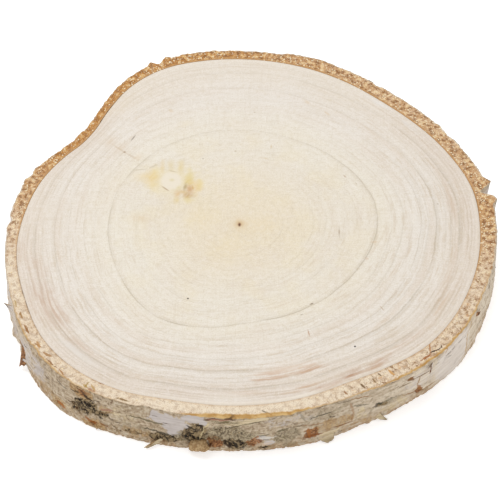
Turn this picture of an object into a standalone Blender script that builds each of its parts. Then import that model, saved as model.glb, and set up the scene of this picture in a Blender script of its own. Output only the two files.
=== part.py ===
"""A slice cut across a birch trunk: the sawn disc of wood and the ring of bark round it.

The slice lies flat on its underside, with its pale sawn face up. The origin is in the middle
of the box round it, at its underside. A bearing is an angle in degrees round the pith,
anticlockwise from +X as seen from above. Lengths are in metres, and in millimetres in the
tables of rows.
"""
import math
import random

import bmesh
import bpy
from mathutils import Vector, noise

MM = 0.001

# Driving dimensions
THICKNESS = 0.023
SEAM = 0.0003
PITH = Vector((-0.0066, -0.0001, 0.0))

# The trunk's outline: bearing, radius of the wood and thickness of the bark there
OUTLINE = (
    (0, 109.6, 7.6),
    (12, 109.8, 7.6),
    (25, 107.6, 7.2),
    (40, 105.4, 7.3),
    (50, 105.0, 7.0),
    (60, 106.3, 6.6),
    (72, 108.0, 6.9),
    (85, 109.2, 5.9),
    (100, 109.8, 6.1),
    (110, 109.0, 5.4),
    (120, 104.5, 4.3),
    (130, 97.0, 4.2),
    (138, 91.7, 3.9),
    (145, 90.4, 3.9),
    (152, 92.4, 4.2),
    (163, 95.8, 5.8),
    (175, 98.4, 5.6),
    (190, 102.0, 5.0),
    (205, 104.8, 5.0),
    (218, 109.0, 5.4),
    (230, 110.3, 5.8),
    (242, 109.0, 5.3),
    (254, 105.6, 5.9),
    (270, 104.8, 6.0),
    (285, 104.2, 5.9),
    (297, 103.4, 7.0),
    (307, 105.4, 7.9),
    (320, 109.0, 7.1),
    (340, 109.5, 7.1),
)
WOOD = 1
BARK = 2
WOOD_SIDES = 216
BARK_SIDES = 320
BARK_ROWS = 9

# Plates stand out and in over all the bark, and cracks run deep only inside rough patches
PLATE_SIZE = 0.032
PLATE_DEPTH = 0.0008
CRACK_SIZE = 0.0058
CRACK_DEPTH = 0.0018
PATCH_SIZE = 0.026
PATCH_PLACE = Vector((7, 3, 1))
PATCH_SLOPE = 3
PATCH_LEVEL = 0.2
SMOOTH_SHARE = 0.15

# Grooves that split the bark's rim: bearing, half width in degrees, depth, rise of the lips
GROOVES = (
    (10.6, 1.7, 4.6, 2.4),
    (54.0, 1.6, 0.6, 0.3),
    (110.2, 1.3, 2.2, 1.3),
    (162.0, 1.5, 0.9, 0.7),
    (178.5, 1.6, 1.1, 0.4),
)
GROOVE_AT_UNDERSIDE = 0.4
LIP_PLACE = 1.6
LIP_WIDTH = 0.9

# Where the bark draws in towards the underside: bearing, half width in degrees, depth
UNDERCUT = (203.0, 34.0, 2.1)

# Paper that has come loose. A strip leaves the bark at a bearing and a height, runs along its
# heading (0 towards growing bearings, 180 back, -90 down), lifts off by an angle and curls on.
# Rows hold bearing, height, heading, length, width, lift and curl.
PEELS = (
    (194.0, 15.0, 0, 8.0, 5.5, 10, 12),
    (205.5, 17.5, 180, 7.5, 4.2, 20, 24),
    (214.0, 11.8, -90, 10.6, 9.0, 20, 6),
    (218.5, 6.0, 180, 9.0, 8.0, 14, 16),
    (228.0, 5.2, -90, 4.8, 8.0, 26, 20),
    (239.0, 5.2, -90, 5.0, 9.0, 38, 20),
    (253.5, 2.2, 180, 10.5, 2.2, 34, 26),
    (263.3, 3.5, -90, 7.2, 15.0, 18, 150),
    (268.0, 12.0, 0, 9.0, 8.5, 12, 8),
    (276.5, 8.6, -90, 7.6, 8.0, 14, 18),
    (287.8, 7.0, -90, 6.4, 12.0, 18, 10),
    (301.5, 2.8, 0, 7.0, 3.4, 24, 18),
    (318.0, 20.0, 180, 8.0, 3.6, 14, 20),
    (333.0, 19.5, 0, 5.0, 3.4, 18, 20),
)
PAPER = 0.0008
ROOT_DEPTH = 0.0014
TIP_NARROWS = 0.45
TIP_RAGGED = 0.3
TIP_TEETH = 3

# Strips on the side that faces away are drawn at random, each in its own stretch of bearings
BACK_PEELS = 14
BACK_FROM = 17
BACK_TO = 188
BACK_PLACE = (0.15, 0.85)
BACK_WIDTH = (3.0, 9.0)
BACK_LENGTH = (4.5, 8.5)
BACK_LIFT = (8, 20)
BACK_CURL = (5, 30)
BACK_TOP = 20
BACK_LOWNESS = 1.5
SEED = 20


def along(bearing, column):
    """A column of the outline at any bearing, on a smooth curve through its rows."""
    bearing = bearing % 360
    after = sum(row[0] <= bearing for row in OUTLINE)
    knots = []
    for step in (-2, -1, 0, 1):
        turns, index = divmod(after + step, len(OUTLINE))
        knots.append((OUTLINE[index][0] + 360 * turns, OUTLINE[index][column]))
    (b0, v0), (b1, v1), (b2, v2), (b3, v3) = knots
    span = b2 - b1
    x = (bearing - b1) / span
    start = (v2 - v0) / (b2 - b0) * span
    end = (v3 - v1) / (b3 - b1) * span
    rise = (3 - 2 * x) * x * x
    bend = x * (x - 1) * ((x - 1) * start + x * end)
    return (v1 + (v2 - v1) * rise + bend) * MM


def around(bearing, radius, height=0.0):
    """The point at a bearing and a radius from the pith."""
    angle = math.radians(bearing)
    return PITH + Vector((radius * math.cos(angle), radius * math.sin(angle), height))


def turned_by(bearing, middle):
    """Degrees from one bearing to another, the short way round."""
    return (bearing - middle + 180) % 360 - 180


def weathering(bearing, height):
    """How far the bark stands out or in from its plain outline."""
    spot = around(bearing, along(bearing, WOOD), height) - PITH
    plates = noise.noise(spot / PLATE_SIZE) * PLATE_DEPTH
    patch = noise.noise(spot / PATCH_SIZE + PATCH_PLACE) * PATCH_SLOPE - PATCH_LEVEL
    cracks = noise.noise(spot / CRACK_SIZE) * CRACK_DEPTH * min(max(patch, SMOOTH_SHARE), 1)
    level = height / THICKNESS
    grooves = 0
    for middle, half, depth, lip in GROOVES:
        off = abs(turned_by(bearing, middle)) / half
        deep = GROOVE_AT_UNDERSIDE + (1 - GROOVE_AT_UNDERSIDE) * level
        cut = max(1 - off, 0) * depth * deep
        rise = max(1 - abs(off - LIP_PLACE) / LIP_WIDTH, 0) * lip * level
        grooves += (rise - cut) * MM
    middle, half, depth = UNDERCUT
    bump = max(1 - (turned_by(bearing, middle) / half) ** 2, 0) ** 2
    undercut = bump * depth * (1 - level) * MM
    return plates + cracks + grooves - undercut


def bark_radius(bearing, height):
    """Radius of the bark's outside."""
    return along(bearing, WOOD) + along(bearing, BARK) + weathering(bearing, height)


def material(name, colour, roughness):
    """A plain finish of one colour."""
    finish = bpy.data.materials.new(name)
    finish.use_nodes = True
    shader = finish.node_tree.nodes["Principled BSDF"]
    shader.inputs["Base Color"].default_value = (*colour, 1)
    shader.inputs["Roughness"].default_value = roughness
    shader.inputs["Metallic"].default_value = 0
    return finish


def add_object(name, mesh, collection, finish=None):
    """An object of a mesh or a curve, in a collection."""
    thing = bpy.data.objects.new(name, mesh)
    collection.objects.link(thing)
    if finish:
        mesh.materials.clear()
        mesh.materials.append(finish)
    return thing


def baked(thing, name, collection, finish=None):
    """The evaluated shape of an object as a plain welded mesh, which takes the object's place."""
    bpy.context.view_layer.update()
    graph = bpy.context.evaluated_depsgraph_get()
    mesh = bpy.data.meshes.new_from_object(thing.evaluated_get(graph))
    mesh.transform(thing.matrix_world)
    bpy.data.objects.remove(thing)
    work = bmesh.new()
    work.from_mesh(mesh)
    bmesh.ops.remove_doubles(work, verts=work.verts, dist=0.01 * MM)
    work.to_mesh(mesh)
    work.free()
    return add_object(name, mesh, collection, finish)


def slab(name, margin, low, high, collection, finish=None):
    """The wood's outline, grown by a margin, as a solid from one height to another."""
    flat = bpy.data.curves.new(name, "CURVE")
    flat.dimensions = "2D"
    flat.fill_mode = "BOTH"
    flat.extrude = (high - low) / 2
    line = flat.splines.new("POLY")
    line.use_cyclic_u = True
    line.points.add(WOOD_SIDES - 1)
    for index, point in enumerate(line.points):
        bearing = 360 * index / WOOD_SIDES
        point.co = (*around(bearing, along(bearing, WOOD) + margin), 1)
    thing = add_object(name, flat, collection)
    thing.location.z = (low + high) / 2
    return baked(thing, name, collection, finish)


def bark_body(name, collection, finish):
    """The bark as a full drum with a weathered side, before the wood's place is cut from it."""
    work = bmesh.new()
    bmesh.ops.create_cone(work, cap_ends=True, segments=BARK_SIDES, radius1=1, radius2=1, depth=THICKNESS)
    bmesh.ops.translate(work, verts=work.verts, vec=(0, 0, THICKNESS / 2))
    for row in range(1, BARK_ROWS):
        everything = work.verts[:] + work.edges[:] + work.faces[:]
        level = (0, 0, THICKNESS * row / BARK_ROWS)
        bmesh.ops.bisect_plane(work, geom=everything, plane_co=level, plane_no=(0, 0, 1))
    for corner in work.verts:
        bearing = math.degrees(math.atan2(corner.co.y, corner.co.x))
        corner.co = around(bearing, bark_radius(bearing, corner.co.z), corner.co.z)
    bmesh.ops.recalc_face_normals(work, faces=work.faces)
    mesh = bpy.data.meshes.new(name)
    work.to_mesh(mesh)
    work.free()
    return add_object(name, mesh, collection, finish)


def peel(name, row, draw, collection):
    """A strip of paper bark, with its root sunk in the bark and its ragged tip curling away."""
    bearing, height, heading, length, width, lift, curl = row
    length, width, height = length * MM, width * MM, height * MM
    lift, curl, heading = math.radians(lift), math.radians(curl), math.radians(heading)
    outward = around(bearing, 1) - PITH
    side = Vector((0, 0, 1)).cross(outward)
    run = side * math.cos(heading) + Vector((0, 0, math.sin(heading)))
    across = Vector((0, 0, math.cos(heading))) - side * math.sin(heading)
    root = around(bearing, bark_radius(bearing, height) - ROOT_DEPTH, height)
    columns = 4 + round(curl / math.radians(20))
    teeth = draw.uniform(0, 50)
    work = bmesh.new()
    bmesh.ops.create_grid(work, x_segments=columns, y_segments=3, size=0.5)
    for corner in work.verts:
        u = corner.co.x + 0.5
        v = corner.co.y
        place = root.copy()
        if u:
            reach = length * (1 + noise.noise(Vector((v * TIP_TEETH, teeth, 0))) * TIP_RAGGED)
            angle = lift + curl * u
            place += run * reach * (math.sin(angle) - math.sin(lift)) / curl
            place += outward * reach * (math.cos(lift) - math.cos(angle)) / curl
        place += across * v * width * (1 - TIP_NARROWS * u * u)
        place.z = min(max(place.z, PAPER), THICKNESS - PAPER)
        corner.co = place
    mesh = bpy.data.meshes.new(name)
    work.to_mesh(mesh)
    work.free()
    strip = add_object(name, mesh, collection)
    sheet = strip.modifiers.new("paper", "SOLIDIFY")
    sheet.thickness = PAPER
    sheet.offset = 0
    return baked(strip, name, collection)


def back_peels(draw):
    """Rows for the strips on the side that faces away, in the manner of those in front."""
    rows = []
    for index in range(BACK_PEELS):
        share = (index + draw.uniform(*BACK_PLACE)) / BACK_PEELS
        bearing = BACK_FROM + (BACK_TO - BACK_FROM) * share
        heading = draw.choice((0, 180, -90))
        width = draw.uniform(*BACK_WIDTH)
        length = draw.uniform(*BACK_LENGTH)
        lowest = length + 1 if heading == -90 else width / 2 + 1
        highest = BACK_TOP if heading == -90 else BACK_TOP - width / 2
        height = lowest + (highest - lowest) * draw.random() ** BACK_LOWNESS
        lift = draw.uniform(*BACK_LIFT)
        curl = draw.uniform(*BACK_CURL)
        rows.append((bearing, height, heading, length, width, lift, curl))
    return rows


def hide_cutter(thing):
    """Keeps a shape that only cuts or joins out of the model."""
    thing.hide_render = True
    thing.display_type = "WIRE"


def main():
    for thing in list(bpy.data.objects):
        bpy.data.objects.remove(thing)
    slice_parts = bpy.data.collections.new("birch_wood_slice")
    cutters = bpy.data.collections.new("cutters")
    peels = bpy.data.collections.new("peels")
    for collection in (slice_parts, cutters, peels):
        bpy.context.scene.collection.children.link(collection)

    # The wood: a disc of pale sawn birch
    sawn_birch = material("sawn_birch", (0.83, 0.75, 0.65), 0.6)
    slab("wood_disc", 0, 0, THICKNESS, slice_parts, sawn_birch)

    # The bark: a weathered ring round the wood, with a hairline seam between them
    birch_bark = material("birch_bark", (0.50, 0.44, 0.36), 0.8)
    bark_ring = bark_body("bark_ring", slice_parts, birch_bark)
    past = THICKNESS / 4
    wood_space = slab("wood_space", SEAM, -past, THICKNESS + past, cutters)
    hide_cutter(wood_space)
    cut = bark_ring.modifiers.new("wood_space", "BOOLEAN")
    cut.operation = "DIFFERENCE"
    cut.object = wood_space

    # Loose paper, joined to the ring so that each strip grows from the bark
    draw = random.Random(SEED)
    for index, row in enumerate((*PEELS, *back_peels(draw))):
        hide_cutter(peel(f"peel_{index}", row, draw, peels))
    join = bark_ring.modifiers.new("peels", "BOOLEAN")
    join.operation = "UNION"
    join.operand_type = "COLLECTION"
    join.collection = peels
    baked(bark_ring, "bark_ring", slice_parts, birch_bark)
    for strip in list(peels.objects):
        bpy.data.objects.remove(strip)
    bpy.data.collections.remove(peels)


main()
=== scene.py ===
"""The looks of a slice cut across a birch trunk, lying flat with its sawn face up.

A bearing is an angle in degrees round the pith, anticlockwise from +X as seen from above.
Lengths are in metres, apart from the tables and the attributes, which are in millimetres.
"""
import math
import random

import bpy
import numpy as np
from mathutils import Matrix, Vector, noise


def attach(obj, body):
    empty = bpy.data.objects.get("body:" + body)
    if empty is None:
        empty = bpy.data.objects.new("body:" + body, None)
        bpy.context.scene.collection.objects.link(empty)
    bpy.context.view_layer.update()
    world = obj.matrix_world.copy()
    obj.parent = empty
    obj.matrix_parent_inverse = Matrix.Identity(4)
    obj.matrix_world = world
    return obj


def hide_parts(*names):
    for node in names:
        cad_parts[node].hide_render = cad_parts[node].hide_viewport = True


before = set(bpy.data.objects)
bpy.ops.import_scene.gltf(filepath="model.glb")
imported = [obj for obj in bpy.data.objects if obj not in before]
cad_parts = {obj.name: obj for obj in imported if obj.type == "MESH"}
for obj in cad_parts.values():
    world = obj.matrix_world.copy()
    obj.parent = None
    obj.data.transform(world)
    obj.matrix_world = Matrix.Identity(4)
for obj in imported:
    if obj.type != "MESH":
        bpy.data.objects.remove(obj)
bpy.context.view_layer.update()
MM = 0.001


# The camera: a long lens that looks down on the slice from in front, 48 degrees above level.
TARGET = Vector((-0.0018, -0.0058, 0.0120))
ELEVATION = math.radians(48)
DISTANCE = 1.08


def in_scene(name, data):
    """A new object in the scene."""
    thing = bpy.data.objects.new(name, data)
    bpy.context.scene.collection.objects.link(thing)
    return thing


camera = in_scene("camera", bpy.data.cameras.new("camera"))
camera.data.lens = 170
towards_camera = Vector((0, -math.cos(ELEVATION), math.sin(ELEVATION)))
camera.location = TARGET + towards_camera * DISTANCE
camera.rotation_euler = (math.pi / 2 - ELEVATION, 0, 0)
bpy.context.scene.camera = camera


# The wood: a disc sawn across the trunk and lightly sanded, pale cream birch with its pith off
# centre, faint growth rings, a small knot and a dent where the trunk once healed over a branch.
PITH = Vector((-0.0066, -0.0001, 0.0))
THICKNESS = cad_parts["wood_disc"].dimensions.z
# Rows hold a bearing, the radius of the wood and the thickness of the bark there
OUTLINE = (
    (0, 109.6, 7.6),
    (12, 109.8, 7.6),
    (25, 107.6, 7.2),
    (40, 105.4, 7.3),
    (50, 105.0, 7.0),
    (60, 106.3, 6.6),
    (72, 108.0, 6.9),
    (85, 109.2, 5.9),
    (100, 109.8, 6.1),
    (110, 109.0, 5.4),
    (120, 104.5, 4.3),
    (130, 97.0, 4.2),
    (138, 91.7, 3.9),
    (145, 90.4, 3.9),
    (152, 92.4, 4.2),
    (163, 95.8, 5.8),
    (175, 98.4, 5.6),
    (190, 102.0, 5.0),
    (205, 104.8, 5.0),
    (218, 109.0, 5.4),
    (230, 110.3, 5.8),
    (242, 109.0, 5.3),
    (254, 105.6, 5.9),
    (270, 104.8, 6.0),
    (285, 104.2, 5.9),
    (297, 103.4, 7.0),
    (307, 105.4, 7.9),
    (320, 109.0, 7.1),
    (340, 109.5, 7.1),
)
WOOD = 1
BARK = 2
# The dark ring that shows best is rounder than the outline, and the dent isn't in it
INNER_RING = 60
INNER_OUTLINE = (
    (8, 63.2),
    (30, 62.4),
    (60, 60.2),
    (90, 60.6),
    (120, 61.0),
    (150, 60.2),
    (180, 60.0),
    (205, 61.0),
    (225, 64.2),
    (240, 66.0),
    (255, 63.0),
    (272, 59.0),
    (300, 58.2),
    (330, 59.2),
)
OUTER_RING = 105
DENT_FROM = 112
DENT_TO = 184
# How fast the rings grow rounder towards the pith, and how fast the dent fades inwards
CENTRE_POWER = 1.6
DENT_POWER = 2.4
# How clearly the rings show round the trunk, and how pale the last one is
RINGS_SHOW = (
    (0, 1.0, 0.25),
    (25, 0.8, 0.2),
    (60, 0.45, 0.2),
    (90, 0.35, 0.2),
    (115, 0.4, 0.1),
    (140, 0.7, 0.0),
    (170, 0.6, 0.1),
    (200, 0.85, 0.1),
    (230, 1.0, 0.15),
    (260, 1.0, 0.4),
    (285, 1.0, 0.5),
    (300, 1.0, 0.3),
    (330, 1.05, 0.25),
)
WOOD_SIDES = 480
FACE_LOOPS = 64
WALL_LOOPS = 5
PITH_SHARE = 0.012
EASED_EDGE = 0.25


def along(bearings, rows, column=1):
    """A column of a table of rows at each bearing, on a smooth closed curve through the rows."""
    table = np.array(rows, float)
    knots, values = table[:, 0], table[:, column]
    count = len(table)
    bearings = np.asarray(bearings, float) % 360
    after = np.searchsorted(knots, bearings, side="right")
    places, heights = [], []
    for step in (-2, -1, 0, 1):
        turns, index = np.divmod(after + step, count)
        places.append(knots[index] + 360 * turns)
        heights.append(values[index])
    span = places[2] - places[1]
    x = (bearings - places[1]) / span
    start = (heights[2] - heights[0]) / (places[2] - places[0]) * span
    end = (heights[3] - heights[1]) / (places[3] - places[1]) * span
    rise = (3 - 2 * x) * x * x
    bend = x * (x - 1) * ((x - 1) * start + x * end)
    return heights[1] + (heights[2] - heights[1]) * rise + bend


def ring_radius(bearings, ring):
    """How far out a growth ring lies at each bearing. Rings are numbered by their mean radius."""
    inner = along(bearings, INNER_OUTLINE)
    if ring <= INNER_RING:
        return ring + (inner - INNER_RING) * (ring / INNER_RING) ** CENTRE_POWER
    outer = along(bearings, OUTLINE, WOOD)
    healthy = [row for row in OUTLINE if not DENT_FROM < row[0] < DENT_TO]
    whole = along(bearings, healthy, WOOD)
    share = (ring - INNER_RING) / (OUTER_RING - INNER_RING)
    return inner + (whole - inner) * share + (outer - whole) * share ** DENT_POWER


def around(bearings, radii, heights):
    """The points at some bearings, radii from the pith and heights, the last two in millimetres."""
    angles = np.radians(bearings)
    x = PITH.x + radii * np.cos(angles) * MM
    y = PITH.y + radii * np.sin(angles) * MM
    return np.stack([x, y, np.broadcast_to(heights * MM, x.shape)], axis=-1)


def shell(loops, closed):
    """Points and faces over a stack of loops: a closed tube, or a body with both ends drawn shut."""
    count, sides = loops.shape[:2]
    points = loops.reshape(-1, 3)
    column = np.arange(sides)
    after = (column + 1) % sides
    faces = []
    for low in range(count if closed else count - 1):
        high = (low + 1) % count
        lower = (low * sides + column, low * sides + after)
        upper = (high * sides + after, high * sides + column)
        faces += np.stack(lower + upper, axis=1).tolist()
    if not closed:
        points = np.concatenate([points, loops[[0, -1]].mean(axis=1)])
        first, last = count * sides, count * sides + 1
        top = (count - 1) * sides
        faces += [(first, b, a) for a, b in zip(column.tolist(), after.tolist())]
        faces += [(last, top + a, top + b) for a, b in zip(column.tolist(), after.tolist())]
    return points, faces


def with_ends(values):
    """Values for the points of a body with both ends drawn shut."""
    values = np.asarray(values, float).reshape(-1)
    return np.concatenate([values, values[:1], values[-1:]])


def piece(name, points, faces, **attributes):
    """One object in the scene, smooth shaded, with a number at each point for every attribute."""
    mesh = bpy.data.meshes.new(name)
    mesh.from_pydata(points.tolist(), [], faces)
    for label, values in attributes.items():
        layer = mesh.attributes.new(label, "FLOAT", "POINT")
        layer.data.foreach_set("value", np.asarray(values, np.float32).reshape(-1))
    mesh.shade_smooth()
    return in_scene(name, mesh)


wood_bearings = np.arange(WOOD_SIDES) * 360 / WOOD_SIDES
top = THICKNESS / MM
spread = np.linspace(PITH_SHARE, 1, FACE_LOOPS) * OUTER_RING
wall_heights = np.linspace(EASED_EDGE, top - EASED_EDGE, WALL_LOOPS)
disc_rings = np.concatenate([spread, np.full(WALL_LOOPS, OUTER_RING), spread[::-1]])
disc_heights = np.concatenate([np.zeros(FACE_LOOPS), wall_heights, np.full(FACE_LOOPS, top)])
disc_loops = []
for ring, height in zip(disc_rings, disc_heights):
    radii = ring_radius(wood_bearings, ring)
    if height in (0, top) and ring == OUTER_RING:
        radii = radii - EASED_EDGE
    disc_loops.append(around(wood_bearings, radii, height))
disc_loops = np.array(disc_loops)
ring_marks = with_ends(np.repeat(disc_rings, WOOD_SIDES))
shows = with_ends(np.tile(along(wood_bearings, RINGS_SHOW), len(disc_rings)))
pale_last = with_ends(np.tile(along(wood_bearings, RINGS_SHOW, 2), len(disc_rings)))
disc = shell(disc_loops, False)
wood = piece("birch_wood", *disc, ring=ring_marks, shows=shows, pale_last=pale_last)


def linear(hex_colour):
    """An sRGB hex colour as linear RGBA."""
    parts = [int(hex_colour[i:i + 2], 16) / 255 for i in (1, 3, 5)]
    return (*(c / 12.92 if c <= 0.04045 else ((c + 0.055) / 1.055) ** 2.4 for c in parts), 1)


def node(tree, kind, inputs=None, **settings):
    """Adds a node with its settings; an input is a value, or a node whose result it takes."""
    made = tree.nodes.new(kind)
    for name, value in settings.items():
        setattr(made, name, value)
    for key, value in (inputs or {}).items():
        if isinstance(key, int):
            socket = made.inputs[key]
        else:
            socket = next(s for s in made.inputs if s.name == key and s.enabled)
        if isinstance(value, bpy.types.Node):
            value = next(s for s in value.outputs if s.enabled)
        if isinstance(value, bpy.types.NodeSocket):
            tree.links.new(value, socket)
        else:
            socket.default_value = value
    return made


def finish_of(name, roughness):
    """A new material, with its tree and its shader."""
    made = bpy.data.materials.new(name)
    made.use_nodes = True
    tree = made.node_tree
    shader = tree.nodes["Principled BSDF"]
    shader.inputs["Roughness"].default_value = roughness
    return made, tree, shader


# The next functions all add to the tree of the material that was begun last
def maths(operation, *values):
    """A sum, product or the like of values and nodes."""
    return node(tree, "ShaderNodeMath", dict(enumerate(values)), operation=operation)


def times(first, second):
    """The product of two values."""
    return maths("MULTIPLY", first, second)


def plus(first, second):
    """The sum of two values."""
    return maths("ADD", first, second)


def minus(first, second):
    """The first value less the second."""
    return maths("SUBTRACT", first, second)


def vectors(operation, *values):
    """A sum, product or the like of vectors."""
    return node(tree, "ShaderNodeVectorMath", dict(enumerate(values)), operation=operation)


def scaled(vector, factor):
    """A vector drawn out by a factor."""
    return node(tree, "ShaderNodeVectorMath", {0: vector, "Scale": factor}, operation="SCALE")


def stored(name):
    """The number that the mesh holds at each point under a name."""
    return node(tree, "ShaderNodeAttribute", attribute_name=name).outputs["Fac"]


def blend(share, first, second):
    """The second colour laid over the first by a share. Each is a node or a hex colour."""
    first, second = (linear(colour) if isinstance(colour, str) else colour for colour in (first, second))
    return node(tree, "ShaderNodeMix", {"Factor": share, "A": first, "B": second}, data_type="RGBA")


def painted(colour):
    """Gives the shader its colour."""
    tree.links.new(colour.outputs["Result"], shader.inputs["Base Color"])


def embossed(height, strength, depth):
    """Gives the shader a fine relief, some millimetres deep."""
    bump = {"Height": height, "Strength": strength, "Distance": depth * MM}
    bump = node(tree, "ShaderNodeBump", bump)
    tree.links.new(bump.outputs["Normal"], shader.inputs["Normal"])


def ramp(value, low, high, to_low=0.0, to_high=1.0):
    """A value spread from one range to another with soft ends."""
    inputs = {"Value": value, "From Min": low, "From Max": high, "To Min": to_low, "To Max": to_high}
    return node(tree, "ShaderNodeMapRange", inputs, interpolation_type="SMOOTHSTEP")


# Sanded end grain of birch: matte, nearly white wood whose rings show as faint tan lines. Every
# size below is a real one in millimetres, and the noise scales are worked out from them.
sawn_birch, tree, shader = finish_of("sawn_birch_end_grain", 0.62)
place = node(tree, "ShaderNodeTexCoord").outputs["Object"]
from_pith = node(tree, "ShaderNodeMapping", {"Vector": place, "Location": (-PITH.x, -PITH.y, 0)})
flat = vectors("MULTIPLY", from_pith, (1, 1, 0))
heading = vectors("NORMALIZE", flat)
ring = stored("ring")
shows = stored("shows")


def grain(vector, size, detail=2.0, stretch=None):
    """Noise whose lumps are some millimetres wide, centred on a half."""
    inputs = {"Scale": 1 / (size * MM), "Detail": detail}
    if stretch:
        vector = vectors("MULTIPLY", vector, stretch)
    return node(tree, "ShaderNodeTexNoise", {"Vector": vector, **inputs}).outputs["Fac"]


def streaks(value, size, detail=1.0):
    """Noise along one value in millimetres, which gives bands that follow the rings."""
    inputs = {"W": maths("DIVIDE", value, size), "Scale": 1.0, "Detail": detail}
    return node(tree, "ShaderNodeTexNoise", inputs, noise_dimensions="1D").outputs["Fac"]


def laid(value, thick, lumps_round, detail=2.0):
    """Noise in thin lenses that lie along the rings, some millimetres thick."""
    rise = node(tree, "ShaderNodeCombineXYZ", {"Z": maths("DIVIDE", value, thick)})
    vector = vectors("ADD", scaled(heading, lumps_round), rise)
    inputs = {"Vector": vector, "Scale": 1.0, "Detail": detail}
    return node(tree, "ShaderNodeTexNoise", inputs).outputs["Fac"]


wander = minus(grain(flat, 26), 0.5)
jitter = minus(grain(flat, 3.5), 0.5)
wavy = maths("MULTIPLY_ADD", wander, 2.4, ring)
wavy = maths("MULTIPLY_ADD", jitter, 0.5, wavy)

# Tone from the yellowish heart out to the greyer sapwood
HEART = "#D9CDB6"
MIDDLE = "#DAD3C5"
SAPWOOD = "#D9D2C9"
EDGE = "#D2C6BA"
colour = blend(ramp(wavy, 14, 50), HEART, MIDDLE)
colour = blend(ramp(wavy, 58, 84), colour, SAPWOOD)
colour = blend(ramp(wavy, 86, 100), colour, EDGE)
calm = ramp(shows, 0.8, 0.4)
calm_edge = times(calm, ramp(wavy, 84, 98, 0, 0.6))
colour = blend(calm_edge, colour, "#DBD4C8")
blotch = ramp(grain(flat, 34, 3), 0.38, 0.66, 0, 0.3)
colour = blend(blotch, colour, "#D4C8B8")
warm_blotch = ramp(grain(flat, 19, 4), 0.45, 0.62, 0, 0.35)
warm_heart = times(warm_blotch, ramp(wavy, 78, 40))
colour = blend(warm_heart, colour, "#DBCEAD")

# Broad bands of denser years, and the thin line that ends each year; the last years are narrow
YEAR = 2.7
NARROW_FROM = 86
NARROW = 0.36
LATE_WOOD = "#B29D80"
layers = laid(wavy, 1.1, 6.5, 3)
drifts = laid(wavy, 4.5, 2.6, 3)
outwards = times(ramp(wavy, 30, 96, 0.35, 1.0), shows)
bands = times(ramp(streaks(wavy, 5.5, 2), 0.42, 0.7), ramp(drifts, 0.36, 0.58, 0.2, 1))
bands = times(bands, outwards)
colour = blend(times(bands, 0.34), colour, "#C7B39E")
years = maths("DIVIDE", maths("MULTIPLY_ADD", streaks(wavy, 11), 4.0, wavy), YEAR)
late_years = maths("MAXIMUM", minus(wavy, NARROW_FROM), 0.0)
years = maths("MULTIPLY_ADD", late_years, NARROW, years)
within_year = maths("FRACT", years)
which_year = {"W": maths("FLOOR", years)}
year_strength = node(tree, "ShaderNodeTexWhiteNoise", which_year, noise_dimensions="1D")
year_strength = year_strength.outputs["Value"]
line = maths("POWER", within_year, 3.0)
line = times(line, ramp(year_strength, 0.15, 1.0, 0.1, 1.0))
fading = ramp(drifts, 0.4, 0.6, 0.1, 1.0)
line = times(times(line, fading), outwards)
colour = blend(times(line, 0.5), colour, LATE_WOOD)
dense = times(ramp(layers, 0.52, 0.72, 0, 0.5), outwards)
colour = blend(dense, colour, "#BFAB92")
light = times(ramp(layers, 0.46, 0.28, 0, 0.4), outwards)
colour = blend(light, colour, "#E5DED4")

# The rings that stand out: mean radius, half width and strength
CLEAR_RINGS = (
    (19.5, 0.6, 0.1),
    (33, 0.6, 0.1),
    (38.5, 0.6, 0.1),
    (47, 0.6, 0.12),
    (59.5, 1.4, 0.16),
    (60, 0.42, 0.46),
    (66.5, 0.6, 0.12),
    (71.5, 0.7, 0.16),
    (75.5, 0.5, 0.14),
    (79.3, 0.45, 0.24),
    (80.3, 1.3, 0.08),
    (82.5, 0.6, 0.14),
    (86.2, 0.6, 0.32),
    (87, 1.6, 0.14),
    (90.3, 0.5, 0.14),
    (92.5, 0.6, 0.22),
    (94.3, 0.4, 0.15),
    (96, 0.6, 0.31),
    (96.6, 1.8, 0.19),
    (99.8, 0.6, 0.19),
    (101.3, 0.4, 0.17),
    (102.7, 0.4, 0.12),
)
for radius, half, strength in CLEAR_RINGS:
    away = maths("ABSOLUTE", minus(wavy, radius))
    drawn = ramp(away, 0.0, half, strength, 0)
    patchy = ramp(grain(flat, 16 + radius / 9, 3), 0.36, 0.58, 0.3, 1.0)
    drawn = times(times(drawn, patchy), shows)
    colour = blend(drawn, colour, "#877553")
last_ring = times(ramp(ring, 102.6, 103.8), stored("pale_last"))

# Rays run out from the pith, the saw and the sander left faint straight lines, and the cut cells
# give the whole face a fine speckle
rays = grain(scaled(heading, 0.07), 0.55, 3)
saw = grain(flat, 0.9, 2, stretch=(1, 0.06, 1))
sander = grain(flat, 0.7, 2, stretch=(0.07, 1, 1))
cells = grain(flat, 0.62, 2)
dapple = grain(flat, 2.1, 3)
for pattern, full_at, strength, tint in (
    (rays, 0.8, 0.16, "#C6B6A3"),
    (rays, 0.2, 0.16, "#E3DDD3"),
    (saw, 0.8, 0.22, "#C2B5A2"),
    (sander, 0.75, 0.24, "#BDB09C"),
    (cells, 0.74, 0.36, "#BBAB92"),
    (cells, 0.28, 0.3, "#EAE5DC"),
    (dapple, 0.7, 0.22, "#C7B99F"),
    (dapple, 0.3, 0.2, "#E4DDD6"),
):
    colour = blend(ramp(pattern, 0.5, full_at, 0, strength), colour, tint)

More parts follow.
